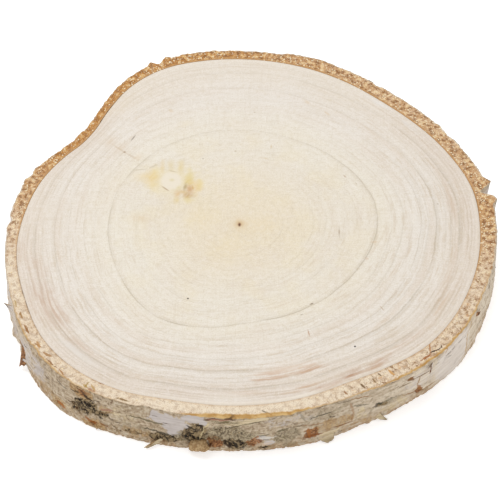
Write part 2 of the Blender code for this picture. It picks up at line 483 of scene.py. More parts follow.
# Stains and marks of the sawn face: bearing and radius of the middle, half length outwards and
# round, turn in degrees, colour, strength, softness of the edge, and how streaked it is
WOOD_MARKS = (
    (210, 97, 11, 21, 4, "#BDA48F", 0.75, 1.0, 0.7),
    (204, 96, 8, 13, -6, "#B0937C", 0.3, 1.0, 0.85),
    (216, 97, 6, 12, 6, "#B59A85", 0.25, 1.0, 0.85),
    (226, 100.5, 5, 14, 0, "#BA9E88", 0.4, 1.0, 0.85),
    (196, 93, 8, 10, 0, "#C2AA95", 0.45, 0.9, 0.8),
    (190, 99, 4, 12, 0, "#BFA690", 0.5, 0.9, 0.9),
    (226, 103, 3, 22, 0, "#D6D2CB", 0.6, 0.9, 0.5),
    (279, 90, 4, 13, 5, "#B58F70", 0.75, 0.9, 0.9),
    (290, 90.5, 3.5, 13, -6, "#B58F70", 0.75, 0.9, 0.9),
    (284, 87, 5, 22, 0, "#CDB59F", 0.5, 0.9, 0.7),
    (271, 98, 3, 14, 0, "#CBB39F", 0.25, 0.9, 0.7),
    (286, 99, 2.2, 12, 4, "#B8926F", 0.6, 0.9, 0.85),
    (292, 101.4, 2.6, 10, 3, "#A87C58", 0.8, 0.9, 0.7),
    (298, 100.2, 3.2, 10, 4, "#A0704A", 0.85, 0.9, 0.75),
    (306, 101.6, 2.8, 10, 3, "#AC8360", 0.8, 0.9, 0.75),
    (316, 100.5, 2.8, 16, 0, "#B5916F", 0.48, 0.9, 0.85),
    (330, 101, 2.4, 20, 0, "#C4A78A", 0.35, 0.9, 0.8),
    (341, 98.5, 3.2, 26, 0, "#BEA489", 0.38, 0.9, 0.6),
    (8, 98, 3.0, 18, 0, "#BCA187", 0.4, 0.9, 0.6),
    (50, 103, 1.8, 11, 0, "#D9DBDE", 0.45, 0.9, 0.6),
    (38, 102, 2.0, 9, 0, "#D9DBDE", 0.3, 0.9, 0.6),
    (20, 103, 4, 22, 0, "#CFC3B5", 0.35, 0.9, 0.5),
    (268, 101, 4, 20, 0, "#DFD9CF", 0.4, 0.9, 0.2),
    (320, 96, 6, 16, 0, "#DFD9CF", 0.25, 1.0, 0.2),
    (112, 70, 3.0, 6, 0, "#D2C29F", 0.35, 1.0, 0.5),
    (128, 96, 8, 18, 0, "#D4C4AA", 0.3, 1.0, 0.5),
    (0, 8, 14, 9, 0, "#D9C59A", 0.3, 1.0, 0.4),
    (250, 16, 14, 12, 0, "#DCCBA2", 0.3, 1.0, 0.4),
    (170, 18, 12, 12, 0, "#DCCBA4", 0.3, 1.0, 0.4),
    (175, 45, 7, 4, 0, "#C9AE88", 0.3, 1.0, 0.5),
    (137.6, 40.6, 15, 20, -48, "#DACA98", 0.5, 1.0, 0),
    (144.2, 50, 8, 6.0, -54, "#D6B974", 0.58, 1.0, 0.2),
    (138.7, 51, 6, 4.4, -49, "#D7C488", 0.3, 1.0, 0.2),
    (148.3, 46, 6, 6, -58, "#D9C690", 0.3, 1.0, 0.2),
    (146, 54.5, 4.4, 5.0, -56, "#D8C192", 0.35, 1.0, 0.2),
    (134.4, 51.5, 6.5, 1.9, -44, "#D0BA8E", 0.55, 1.0, 0),
    (130.4, 49.5, 5.5, 2.8, -40, "#CDBB92", 0.55, 1.0, 0),
    (127, 45.5, 7.2, 2.6, -37, "#D0BC88", 0.55, 1.0, 0),
    (127.6, 38, 8, 2.8, -38, "#CFBC78", 0.6, 1.0, 0.2),
    (131.3, 35.6, 4.6, 3.8, -41, "#CDB468", 0.5, 1.0, 0.2),
    (130.6, 31, 6.6, 4.6, -41, "#D6B268", 0.6, 1.0, 0.2),
    (126.5, 31, 6.6, 2.4, -36, "#D6C486", 0.4, 1.0, 0),
    (142.5, 33.5, 2.6, 4.6, -53, "#C6A260", 0.6, 1.0, 0.2),
    (142.6, 30, 3.2, 4.2, -53, "#B58E52", 0.7, 1.0, 0.2),
    (135.8, 32, 4.4, 2.6, -38, "#C09A70", 0.95, 1.0, 0.1),
    (137, 34.5, 3.8, 1.3, -58, "#A38C60", 0.8, 1.0, 0.1),
    (133.2, 31.5, 2.6, 0.9, -34, "#C09A58", 0.75, 1.0, 0.1),
    (146.3, 34.4, 3.6, 2.2, -56, "#CDAA78", 0.6, 1.0, 0.1),
    (152, 32.6, 3.6, 2.4, -62, "#D0B87C", 0.5, 1.0, 0.1),
    (147.2, 28.2, 3.4, 5.0, -57, "#D4C282", 0.45, 1.0, 0.2),
    (139.3, 42, 7.0, 6.4, -49, "#DCD3C3", 0.85, 0.45, 0),
    (140.7, 36.4, 2.0, 1.8, -51, "#CFC198", 0.6, 1.0, 0),
    (138.2, 42.1, 1.6, 2.0, -48, "#CFC29C", 0.75, 1.0, 0),
    (132.7, 45.8, 2.7, 0.6, 31, "#B5A384", 0.65, 0.9, 0.1),
    (146.6, 41.3, 3.6, 0.6, -9, "#A89070", 0.8, 0.9, 0.1),
    (142.9, 57.6, 4.4, 0.7, 45, "#B9AC94", 0.65, 0.9, 0.2),
    (137.2, 54.5, 3.4, 0.7, 78, "#B9AC94", 0.65, 0.9, 0.2),
    (139.3, 66, 5, 1.1, 3, "#B7A083", 0.5, 1.0, 0.2),
    (138, 64, 3.0, 3.0, -48, "#D3C1A8", 0.5, 1.0, 0.3),
    (139.5, 74, 9, 0.8, 0, "#B39A7A", 0.45, 1.0, 0.2),
    (139, 78, 12, 6, 0, "#CDBAA2", 0.4, 0.9, 0.6),
    (132.2, 74.8, 0.5, 3.2, 18, "#5D5140", 0.75, 0.9, 0.2),
    (139.5, 71, 0.8, 0.9, 0, "#86643E", 0.7, 0.9, 0.1),
    (295.3, 71.4, 2.6, 0.4, -14, "#A2672F", 0.8, 0.8, 0.2),
    (321.5, 80.5, 2.4, 0.5, -20, "#A07C54", 0.55, 0.8, 0.2),
    (305, 88, 0.6, 0.6, 0, "#2E2116", 0.95, 0.6, 0.0),
    (243, 50, 0.6, 0.6, 0, "#2E2116", 0.9, 0.6, 0.0),
    (8, 92, 0.5, 0.7, 0, "#8A7558", 0.5, 0.8, 0.0),
    (304, 57.4, 0.5, 1.4, 0, "#6A5238", 0.7, 0.7, 0.0),
    (297, 60.5, 0.4, 1.2, 0, "#8A7458", 0.6, 0.8, 0.0),
    (112.3, 45.3, 0.7, 0.6, -22, "#8E866C", 0.7, 0.9, 0),
    (84.5, 73, 0.7, 0.6, 0, "#A58E6E", 0.5, 0.9, 0.0),
    (114, 80.5, 2.4, 1.6, 20, "#C4AC88", 0.6, 1.0, 0.2),
    (340, 61, 1.6, 1.4, 0, "#B8906C", 0.5, 0.9, 0.3),
    (32, 57.5, 0.6, 1.6, 10, "#A07C58", 0.6, 0.8, 0.1),
    (25.5, 59.8, 0.5, 1.2, 0, "#A58C66", 0.5, 0.9, 0.0),
    (92.5, 46.8, 0.7, 0.7, 0, "#A08A64", 0.5, 0.9, 0.0),
    (73.5, 52, 2.2, 0.7, 10, "#BBA070", 0.5, 0.9, 0.2),
    (74, 43.7, 0.7, 3.4, 0, "#C4AB82", 0.5, 1.0, 0.2),
    (354.5, 45.5, 0.5, 4.6, 4, "#8A6A44", 0.6, 0.9, 0.3),
    (68, 86, 1.2, 3.0, -25, "#C9B08C", 0.5, 0.9, 0.3),
    (60, 83, 0.8, 2.6, -20, "#C9B08C", 0.5, 0.9, 0.3),
    (350, 62, 2.4, 1.2, 10, "#C6A886", 0.5, 1.0, 0.2),
    (90, 0.4, 6.4, 5.6, 0, "#CDB48A", 0.5, 1.0, 0.1),
    (90, 0.4, 3.4, 2.8, 0, "#BE9C6C", 0.6, 1.0, 0.1),
    (270, 0.2, 1.9, 1.1, 0, "#7A4A22", 0.9, 0.8, 0.0),
    (270, 0.2, 1.1, 0.6, 0, "#43240F", 0.85, 0.8, 0.0),
)
ragged = grain(flat, 3.2, 3)
ragged = maths("MULTIPLY_ADD", ragged, 0.7, -0.35)
for bearing, radius, outwards_half, round_half, turn, tint, strength, soft, streaked in WOOD_MARKS:
    angle = math.radians(bearing)
    middle = Vector((math.cos(angle), math.sin(angle), 0)) * radius * MM
    angle += math.radians(turn)
    lengthways = Vector((math.cos(angle), math.sin(angle), 0)) / (outwards_half * MM)
    crossways = Vector((-math.sin(angle), math.cos(angle), 0)) / (round_half * MM)
    from_middle = vectors("SUBTRACT", flat, middle)
    length_off = vectors("DOT_PRODUCT", from_middle, lengthways).outputs["Value"]
    cross_off = vectors("DOT_PRODUCT", from_middle, crossways).outputs["Value"]
    squares = maths("MULTIPLY_ADD", cross_off, cross_off, times(length_off, length_off))
    away = plus(maths("SQRT", squares), ragged)
    drawn = ramp(away, 1 - soft, 1, strength, 0)
    if streaked:
        drawn = times(drawn, ramp(layers, 0.42, 0.58, 1 - streaked, 1))
    colour = blend(drawn, colour, tint)
colour = blend(last_ring, colour, "#E2D8C8")
painted(colour)
embossed(maths("MULTIPLY_ADD", line, -0.4, times(saw, 0.6)), 0.12, 0.1)
wood.data.materials.append(sawn_birch)
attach(wood, "root")
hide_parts("wood_disc")


# The bark: inner bark whose sawn rim is full of pale grains, under a skin of papery outer bark.
# Saw cuts leave it square above and below, and weather has cracked and stained it in patches.
PLATE_SIZE = 32
PLATE_DEPTH = 0.8
CRACK_SIZE = 5.8
CRACK_DEPTH = 1.8
PATCH_SIZE = 26
PATCH_PLACE = (7, 3, 1)
PATCH_SLOPE = 3
PATCH_LEVEL = 0.2
SMOOTH_SHARE = 0.15
# Grooves that split the rim: bearing, half width in degrees, depth, rise of the lips
GROOVES = (
    (10.6, 1.7, 4.6, 2.4),
    (54.0, 1.6, 0.6, 0.3),
    (110.2, 1.3, 2.2, 1.3),
    (162.0, 1.5, 0.9, 0.7),
    (178.5, 1.6, 1.1, 0.4),
)
GROOVE_AT_UNDERSIDE = 0.4
LIP_PLACE = 1.6
LIP_WIDTH = 0.9
# How far the bark swells out past its outline at its top and at its foot, by bearing
SWELL = (
    (0, 0, 0),
    (25, 0.3, 0),
    (55, 0.9, 0.2),
    (90, 0.3, 0),
    (125, 0.7, 0.2),
    (155, 1.0, 0.4),
    (172, 0.4, 0.4),
    (188, 0.6, 0.8),
    (205, 1.1, 1.3),
    (220, 1.0, 1.9),
    (235, 1.0, 2.1),
    (247, 1.1, 2.2),
    (257, 1.3, 1.6),
    (264, 1.5, 1.3),
    (272, 1.5, 1.2),
    (282, 1.3, 1.8),
    (291, 1.0, 1.8),
    (299, 0.8, 0.5),
    (306, 0.7, -0.9),
    (314, 0.7, -1.2),
    (321, 0.6, -0.6),
    (329, 0.5, 0.5),
    (345, 0.3, 0.3),
)
# How the bark looks round the trunk: bearing, then for the sawn rim how tan it is (cream at the front,
# partly painted sheen where light catches its fibres), the coarseness of its grains, gold and pale skin
# at its outer edge, and for the side how fair it is, and for the rim again how much brown curls and
# loops show on it
BARK_LOOKS = (
    (0, 0.80, 1.05, 0.15, 0.3, 0.6, 0.2),
    (30, 0.65, 1.0, 0.0, 0.9, 0.4, 0.0),
    (60, 0.72, 1.0, 0.0, 0.6, 0.4, 0.0),
    (90, 0.95, 1.0, 0.0, 0.4, 0.4, 0.0),
    (115, 1.1, 0.8, 0.0, 0.2, 0.5, 0.0),
    (140, 1.25, 0.6, 0.0, 0.1, 0.5, 0.0),
    (158, 0.9, 0.85, 0.1, 0.4, 0.5, 0.0),
    (175, 0.55, 1.0, 0.1, 0.7, 0.5, 0.0),
    (195, 0.06, 0.4, 0.2, 0.1, 0.5, 0.1),
    (212, 0.08, 0.45, 0.5, 0.0, 0.3, 0.2),
    (228, 0.08, 0.4, 0.5, 0.0, 0.1, 0.2),
    (244, 0.06, 0.35, 0.3, 0.0, 0.0, 0.1),
    (255, 0.02, 0.3, 0.2, 0.0, 0.0, 0.0),
    (264, 0.04, 0.25, 1.2, 0.0, 0.0, 0.0),
    (278, 0.04, 0.25, 1.2, 0.0, 0.12, 0.0),
    (288, 0.05, 0.35, 0.5, 0.0, 0.32, 0.1),
    (302, 0.10, 0.4, 0.55, 0.0, 0.6, 0.9),
    (315, 0.18, 0.5, 0.75, 0.0, 0.9, 1.0),
    (330, 0.18, 0.6, 0.6, 0.0, 1.0, 0.9),
    (345, 0.32, 0.85, 0.4, 0.1, 0.9, 0.6),
)
LOOKS = {"tan_and_sheen": 1, "coarse": 2, "gold": 3, "white": 4, "fair": 5, "curls": 6}
# Patches of the bark's side by kind: bearing, height, half width in degrees, half height, strength
SIDE_PATCHES = {
    "pale": (
        (200, 13.4, 12, 13, 0.6),
        (217, 13.4, 8, 9, 0.6),
        (253, 18, 3.6, 4.2, 1.1),
        (256.2, 14.4, 3, 6.2, 1.25),
        (260.2, 20.5, 3, 3, 1.2),
        (275.4, 8.9, 1.8, 2.2, 1.2),
        (277, 5.8, 1.4, 1.8, 1),
        (282, 19, 7, 3.4, 0.45),
        (314, 14, 5, 8, 0.5),
        (324, 12.1, 7.5, 14, 0.85),
    ),
    "dark": (
        (226.4, 10.3, 0.5, 8, 0.4),
        (233, 8.5, 2, 3, 0.8),
        (235.8, 13.4, 2.6, 5, 1.2),
        (238.4, 11.2, 2.6, 3, 0.9),
        (242.5, 3.5, 1.6, 1.4, 0.5),
        (246.5, 4.5, 2.4, 1.6, 0.5),
        (253.6, 5.8, 4.2, 2.6, 1),
        (259.4, 10.2, 2.2, 4.4, 1.05),
        (261.2, 13.5, 3, 5, 0.8),
        (264.6, 9.5, 2.4, 3, 0.6),
        (269.4, 5.4, 2.7, 4.2, 0.95),
        (276, 2.6, 1.6, 1, 0.9),
        (303.2, 10.1, 1.5, 1.5, 0.7),
    ),
    "lichen": (
        (246, 7.9, 5, 4, 0.5),
        (259.5, 8.6, 4.5, 5, 0.9),
        (267, 20.6, 3.6, 1.4, 0.8),
        (268, 12.5, 6.5, 6, 0.85),
        (280.5, 8.2, 3, 6, 0.7),
        (289, 17.3, 6, 4, 0.5),
        (304.5, 10, 4.5, 3, 0.6),
    ),
    "rust": (
        (212.3, 7.3, 2.4, 6, 1),
        (228.6, 4, 1.3, 1.3, 0.8),
        (235.5, 20.5, 2, 2, 0.7),
        (237.4, 3.3, 1.3, 1.4, 0.8),
        (253, 4.5, 1.1, 1.8, 0.9),
        (265, 6.6, 2.4, 3, 1.2),
        (273.4, 7, 1.9, 3.2, 1.4),
        (286.3, 7.3, 2.3, 3.8, 0.85),
        (310.6, 18.7, 0.8, 1.4, 0.8),
        (313.5, 6.1, 0.9, 2, 0.9),
    ),
    "cream": (
        (230, 5.1, 4, 3, 0.5),
        (244, 14.5, 5, 6, 0.45),
        (269.4, 20.2, 3.6, 1.5, 1),
        (274, 22, 3.2, 1.3, 0.9),
        (290.5, 3.8, 3, 1.8, 0.9),
        (298, 9.1, 2, 4, 0.6),
        (307, 5.6, 4, 4, 0.6),
    ),
    "tan": (
        (223, 6.3, 5, 4, 0.6),
        (228, 4.9, 2.6, 2.6, 1.2),
        (235, 20.1, 3.4, 3.6, 1.1),
        (237.6, 3.4, 2.6, 2.4, 1.2),
        (240.4, 14.9, 1.8, 2, 0.9),
        (247.5, 5.5, 4, 3, 0.85),
        (287, 13, 3.5, 1.2, 0.6),
        (291, 9.4, 5.6, 5.2, 0.75),
        (299, 3.5, 4, 2.4, 0.6),
        (336, 11.2, 9, 12, 0.35),
    ),
}
KINDS = tuple(SIDE_PATCHES)
BACK_FROM = 2
BACK_TO = 190
BACK_PATCHES = 70
BARK_SIDES = 1400
SIDE_ROWS = 42
RIM_ROWS = 13
LOW_RIM_ROWS = 6
INNER_ROWS = 3


def lumps(points, size, shift=(0, 0, 0)):
    """Smooth noise at points in millimetres, with lumps of a size."""
    scaled = np.asarray(points).reshape(-1, 3) / size + shift
    values = [noise.noise(point) for point in scaled.tolist()]
    return np.array(values).reshape(np.shape(points)[:-1])


def turned_by(bearings, middle):
    """Degrees from a bearing to each of others, the short way round."""
    return (np.asarray(bearings) - middle + 180) % 360 - 180


def weathering(bearings, heights):
    """How far the bark stands out or in from its plain outline, in millimetres."""
    angles = np.radians(bearings)
    radii = along(bearings, OUTLINE, WOOD)
    spots = np.stack([radii * np.cos(angles), radii * np.sin(angles), heights], axis=-1)
    plates = lumps(spots, PLATE_SIZE) * PLATE_DEPTH
    patch = lumps(spots, PATCH_SIZE, PATCH_PLACE) * PATCH_SLOPE - PATCH_LEVEL
    cracks = lumps(spots, CRACK_SIZE) * CRACK_DEPTH * np.clip(patch, SMOOTH_SHARE, 1)
    level = heights / top
    grooves = np.zeros_like(radii)
    for middle, half, depth, lip in GROOVES:
        off = np.abs(turned_by(bearings, middle)) / half
        deep = GROOVE_AT_UNDERSIDE + (1 - GROOVE_AT_UNDERSIDE) * level
        cut = np.maximum(1 - off, 0) * depth * deep
        rise = np.maximum(1 - np.abs(off - LIP_PLACE) / LIP_WIDTH, 0) * lip * level
        grooves += rise - cut
    swell = along(bearings, SWELL, 1) * level + along(bearings, SWELL, 2) * (1 - level)
    return plates + cracks + grooves + swell


def bark_radius(bearings, heights):
    """Radius of the bark's outside, in millimetres."""
    plain = along(bearings, OUTLINE, WOOD) + along(bearings, OUTLINE, BARK)
    return plain + weathering(bearings, heights)


draw = random.Random(7)
back_patches = []
for index in range(BACK_PATCHES):
    bearing = BACK_FROM + (BACK_TO - BACK_FROM) * (index + draw.random()) / BACK_PATCHES
    kind = draw.choice(("pale", "pale", "dark", "dark", "lichen", "rust", "cream", "tan"))
    if kind == "pale":
        size = (draw.uniform(4, 11), draw.uniform(3, 10))
    elif kind == "dark" and draw.random() < 0.6:
        size = (draw.uniform(3, 9), draw.uniform(0.4, 0.8))
    else:
        size = (draw.uniform(2, 7), draw.uniform(1, 3.6))
    back_patches.append((kind, bearing, draw.uniform(1, 21), *size, draw.uniform(0.55, 1.1)))

bark_bearings = np.arange(BARK_SIDES) * 360 / BARK_SIDES
bearing_grid, height_grid = np.meshgrid(bark_bearings, np.linspace(0, top, SIDE_ROWS))
angle_grid = np.radians(bearing_grid)
# Patches and noise are laid out on a plain cylinder of this radius
ROUND = 112
side_spots = np.stack([ROUND * np.cos(angle_grid), ROUND * np.sin(angle_grid), height_grid], axis=-1)

# Where each kind of patch lies, with edges that wander
shift_round = lumps(side_spots, 5.5, (3, 0, 0)) * 2.4 + lumps(side_spots, 1.7, (0, 5, 0)) * 1.6
shift_up = lumps(side_spots, 5.5, (0, 0, 9)) * 2.2 + lumps(side_spots, 1.7, (8, 0, 0)) * 1.4
patches = {kind: np.zeros_like(height_grid) for kind in KINDS}
front_patches = [(kind, *row) for kind, rows in SIDE_PATCHES.items() for row in rows]
for kind, bearing, height, half_round, half_up, strength in front_patches + back_patches:
    thin = min(half_up, half_round * math.radians(1) * ROUND)
    wander_share = min(1.0, thin / 3)
    round_off = np.radians(turned_by(bearing_grid, bearing)) * ROUND + shift_round * wander_share
    up_off = height_grid - height + shift_up * wander_share
    away = np.hypot(round_off / (math.radians(half_round) * ROUND), up_off / half_up)
    share = np.clip((1.25 - away) / 0.6, 0, 1)
    patches[kind] = np.maximum(patches[kind], share * share * (3 - 2 * share) * strength)

# Relief of the side: cracks that run up the trunk in the rough patches, and papery smooth ones.
# Depths and heights are in millimetres.
CUT_BY_CRACKS = 0.75
FLAKE_HEIGHT = 0.22
RUST_DEPTH = 0.55
CHIP_DEPTH = 0.7
TOP_WANDER = 0.35
ARRIS = 0.12
rough = np.clip(patches["dark"] + 0.7 * patches["lichen"] + 0.35 - 0.7 * patches["pale"], 0.05, 1.3)
upright = side_spots * (1, 1, 0.35)
crack_lines = 1 - np.abs(lumps(upright, 2.3, (1, 2, 3))) * 3.2
crack_lines = np.clip(crack_lines, 0, 1) ** 3
crumbly = lumps(side_spots, 1.5) * 0.34 + lumps(side_spots, 0.8, (2, 2, 2)) * 0.2
flaky = lumps(side_spots * (0.4, 0.4, 1), 1.9, (6, 1, 4))
relief = rough * (crumbly - crack_lines * CUT_BY_CRACKS) + flaky * FLAKE_HEIGHT * (0.4 + rough)
relief -= np.clip(patches["rust"], 0, 1) * RUST_DEPTH
side_radii = bark_radius(bearing_grid, height_grid) + relief
chips = lumps(side_spots[0], 2.2, (0, 9, 0)) + 0.6 * lumps(side_spots[0], 0.9, (9, 0, 0))
for row, share in ((0, 1.0), (1, 0.45), (2, 0.15)):
    side_radii[row] -= ARRIS * (row == 0) + np.clip(chips + 0.1, 0, 1) * CHIP_DEPTH * share
side_radii[-1] += lumps(side_spots[-1], 1.4, (0, 2, 5)) * TOP_WANDER - ARRIS

# The sawn rim, from the outside in, then the wall against the wood, then the sawn underside.
# Between wood and bark is a hair-thin seam, which gapes at a few cracks, where painted shade darkens it
SEAM = 0.03
# A crack that gapes this wide gets the full painted shade
FULL_SHADE_GAPE = 0.4
# The cracks in it: bearing, half width in degrees, and how wide they gape
SEAM_CRACKS = ((206, 12, 0.15), (224, 9, 0.12), (132, 14, 0.16), (8, 6, 0.12))
seam = np.full(BARK_SIDES, SEAM)
split = np.zeros(BARK_SIDES)
for middle, half, width in SEAM_CRACKS:
    opened = np.clip(1 - np.abs(turned_by(bark_bearings, middle)) / half, 0, 1)
    ragged_seam = 0.7 + 0.6 * lumps(around(bark_bearings, 100, 0) / MM, 2.5)
    seam += np.sqrt(opened) * width * ragged_seam
    split += np.sqrt(opened) * (width / FULL_SHADE_GAPE) * ragged_seam
inner_radii = along(bark_bearings, OUTLINE, WOOD) + seam
looks = {name: along(bark_bearings, BARK_LOOKS, column) for name, column in LOOKS.items()}


def rim(outer_radii, height, up, rows):
    """The loops of a sawn rim, with pits between its grains."""
    loops, outside, inside = [], [], []
    for share in np.linspace(0, 1, rows + 1)[1:]:
        radii = outer_radii + (inner_radii - outer_radii) * share
        spots = around(bark_bearings, radii, height) / MM
        pits = lumps(spots, 1.3, (0, 0, up)) + 0.6 * lumps(spots, 0.7, (4, 0, up))
        ends = min(1, 6 * (1 - share))
        depth = np.clip(pits, 0, 1) * (0.15 + 0.35 * looks["coarse"]) * ends
        loops.append(around(bark_bearings, radii, height - up * depth))
        outside.append(outer_radii - radii)
        inside.append(radii - inner_radii)
    return np.array(loops), np.array(outside), np.array(inside)


FAR = 6
SEAM_CLEAR = 0.3
side_loops = around(bearing_grid, side_radii, height_grid)
top_rim, top_outside, top_inside = rim(side_radii[-1], top, 1, RIM_ROWS)
low_rim, low_outside, low_inside = rim(side_radii[0], 0, -1, LOW_RIM_ROWS)
inner_heights = np.linspace(top, 0, INNER_ROWS + 2)[1:-1]
inner_wall = np.array([around(bark_bearings, inner_radii, height) for height in inner_heights])
bark_loops = np.concatenate([side_loops, top_rim, inner_wall, low_rim[::-1]])
rows_after = len(bark_loops) - SIDE_ROWS
blank = np.zeros((rows_after, BARK_SIDES))
no_side = np.zeros_like(height_grid)
inner_blank = np.zeros((INNER_ROWS, BARK_SIDES))
sawn = np.concatenate([no_side, np.ones((rows_after, BARK_SIDES))])
outside = np.concatenate([no_side, top_outside, inner_blank + FAR, low_outside[::-1]])
inside = np.concatenate([no_side + FAR, top_inside, inner_blank, low_inside[::-1]])
attributes = {kind: np.concatenate([patches[kind], blank]) for kind in KINDS}
attributes.update({name: np.tile(values, (len(bark_loops), 1)) for name, values in looks.items()})
attributes["crack"] = np.concatenate([crack_lines * rough, blank])
attributes["split"] = np.tile(split, (len(bark_loops), 1))
clear_of_skin = top_outside > 0.5 + 2.4 * looks["gold"]
on_top = np.concatenate([no_side, clear_of_skin * (top_inside > SEAM_CLEAR), blank[RIM_ROWS:]])
attributes["grains"] = on_top * np.clip(attributes["coarse"] - 0.2, 0, 1)
crumbly_side = np.clip(patches["dark"] + 0.5 * patches["lichen"] + 0.4 * patches["rust"] - 0.3, 0, 1)
attributes["crumbs"] = np.concatenate([crumbly_side, blank])
papery = np.clip(1 - patches["dark"] - patches["lichen"] - patches["rust"] - patches["cream"], 0, 1)
attributes["papery"] = np.concatenate([papery, blank])
attributes.update({"sawn": sawn, "outside": outside, "inside": inside})
bark = piece("birch_bark", *shell(bark_loops, True), **attributes)

# Birch bark: matte and dry. The sawn rim is tan with pale grains, the side is grey paper.
bark_finish, tree, shader = finish_of("weathered_birch_bark", 0.78)
shader.inputs["Specular IOR Level"].default_value = 0.2
place = node(tree, "ShaderNodeTexCoord").outputs["Object"]
drawn_from = (*KINDS, *LOOKS, "crack", "sawn", "outside", "inside", "split")
look = {name: stored(name) for name in drawn_from}
level = node(tree, "ShaderNodeSeparateXYZ", {0: place}).outputs["Z"]
coarse = grain(place, 1.4, 3)
mottle = grain(place, 3.4, 4)
speck = grain(place, 0.9, 4)
fine = grain(place, 0.5, 2)

# The rim: tan ground with dark gaps and pale grains, then the skin at its outer edge
clumps = grain(place, 2.3, 3)
# The rim's tan by bearing: cream at the front and tan at the back, partly the bark's own colour and
# partly a painted sheen where light catches the sawn fibres
rim_colour = blend(look["tan_and_sheen"], "#DED0BA", "#B07A3C")
tan_clouds = times(ramp(mottle, 0.42, 0.6, 0, 0.45), look["coarse"])
rim_colour = blend(tan_clouds, rim_colour, "#B08048")
dark_gaps = times(ramp(clumps, 0.5, 0.4), look["coarse"])
rim_colour = blend(times(dark_gaps, 0.8), rim_colour, "#80542A")
pale_grains = times(ramp(clumps, 0.54, 0.62), look["coarse"])
grain_tone = blend(look["tan_and_sheen"], "#E8DAC0", "#DDBC84")
rim_colour = blend(times(pale_grains, 0.8), rim_colour, grain_tone)
rim_colour = blend(ramp(fine, 0.54, 0.72, 0, 0.45), rim_colour, "#94683C")
rim_colour = blend(ramp(fine, 0.46, 0.3, 0, 0.5), rim_colour, "#EDE2CD")
tiny = grain(place, 0.36, 1)
rim_colour = blend(ramp(tiny, 0.66, 0.74, 0, 0.7), rim_colour, "#7A5630")
flecks = times(ramp(speck, 0.57, 0.64), ramp(look["outside"], 3.0, 1.0))
flecks = times(flecks, look["gold"])
rim_colour = blend(times(flecks, 0.85), rim_colour, "#94592A")

# Brown curls where the sawn bark is full of old folds: the level lines of a slow noise
folds = grain(place, 2.7, 1)
fold_line = ramp(maths("ABSOLUTE", minus(folds, 0.54)), 0.008, 0.03, 0.8, 0)
fold_line = times(fold_line, times(look["curls"], ramp(mottle, 0.4, 0.5)))
rim_colour = blend(fold_line, rim_colour, "#7E5730")
within_fold = times(ramp(folds, 0.64, 0.72, 0, 0.5), look["curls"])
rim_colour = blend(within_fold, rim_colour, "#B47C40")
skin_edge = maths("MULTIPLY_ADD", mottle, 1.6, look["outside"])
skin_width = maths("MULTIPLY_ADD", look["gold"], 2.3, 0.6)
past_skin = minus(skin_edge, skin_width)
skin_strength = ramp(look["gold"], 0.05, 0.7, 0, 0.95)
skin = times(ramp(past_skin, -0.5, 0.5, 1, 0), skin_strength)
golden = blend(ramp(grain(place, 2.0, 3, stretch=(0.5, 0.5, 2)), 0.4, 0.6), "#AB844A", "#C7A56C")
rim_colour = blend(skin, rim_colour, golden)
skin_core = ramp(maths("ABSOLUTE", plus(past_skin, 0.7)), 0.1, 0.6, 0.45, 0)
rim_colour = blend(times(skin_core, skin_strength), rim_colour, "#A97A3C")
pale_skin = times(ramp(skin_edge, 1.1, 1.5, 1, 0), look["white"])
rim_colour = blend(pale_skin, rim_colour, "#DCD0BC")
seam_line = times(ramp(look["inside"], 0.35, 1.1, 0.9, 0), ramp(look["tan_and_sheen"], 0, 0.6, 0.25, 1))
rim_colour = blend(seam_line, rim_colour, "#B98F60")
# Painted shade: a dark brown line inside the rim where the seam gapes open at a crack
painted_split_shade = times(ramp(look["inside"], 0.05, 0.35, 1, 0), ramp(look["split"], 0.1, 0.5))
rim_colour = blend(painted_split_shade, rim_colour, "#5A4228")


def torn(share, low=0.4, high=0.75):
    """The share of a patch, with an edge that breaks up into crumbs."""
    crumbled = maths("MULTIPLY_ADD", mottle, 1.1, -0.55)
    crumbled = plus(crumbled, maths("MULTIPLY_ADD", speck, 0.9, -0.45))
    return ramp(plus(share, crumbled), low, high)


# The side: paper in fine level streaks, browner low down, then each kind of patch
level_streaks = grain(place, 1.8, 5, stretch=(0.16, 0.16, 1.6))
side_colour = blend(ramp(level_streaks, 0.35, 0.65), "#A28E75", "#BBA990")
fair_colour = blend(ramp(level_streaks, 0.35, 0.65), "#C4B39C", "#D8CBB7")
side_colour = blend(look["fair"], side_colour, fair_colour)
low_down = times(ramp(level, 9 * MM, 1 * MM), ramp(mottle, 0.4, 0.6))
side_colour = blend(times(low_down, 0.6), side_colour, "#A67D4E")
side_colour = blend(ramp(mottle, 0.5, 0.66, 0, 0.5), side_colour, "#8E7A5F")
weathered = minus(1.15, look["fair"])
light_spots = times(ramp(coarse, 0.46, 0.36, 0, 0.55), weathered)
side_colour = blend(light_spots, side_colour, "#CBBEA8")
dark_spots = times(ramp(coarse, 0.54, 0.64, 0, 0.6), weathered)
side_colour = blend(dark_spots, side_colour, "#78644A")
side_colour = blend(ramp(speck, 0.56, 0.7, 0, 0.4), side_colour, "#7D6A52")
dim_paper = blend(ramp(level_streaks, 0.34, 0.66), "#B5ABA5", "#C2B9B3")
fair_paper = blend(ramp(level_streaks, 0.34, 0.66), "#CABEB2", "#D8CEC3")
paper = blend(look["fair"], dim_paper, fair_paper)
paper = blend(ramp(mottle, 0.54, 0.68, 0, 0.3), paper, "#A3968A")
side_colour = blend(torn(look["pale"], 0.3, 0.8), side_colour, paper)
tanned = blend(ramp(speck, 0.38, 0.64), "#8E6C42", "#B99C72")
side_colour = blend(times(torn(look["tan"], 0.35, 0.95), 0.85), side_colour, tanned)
creamy = blend(ramp(level_streaks, 0.36, 0.62), "#B8A484", "#D1C09F")
side_colour = blend(torn(look["cream"]), side_colour, creamy)
mossy = blend(ramp(speck, 0.42, 0.62), "#6A5D45", "#AE9F83")
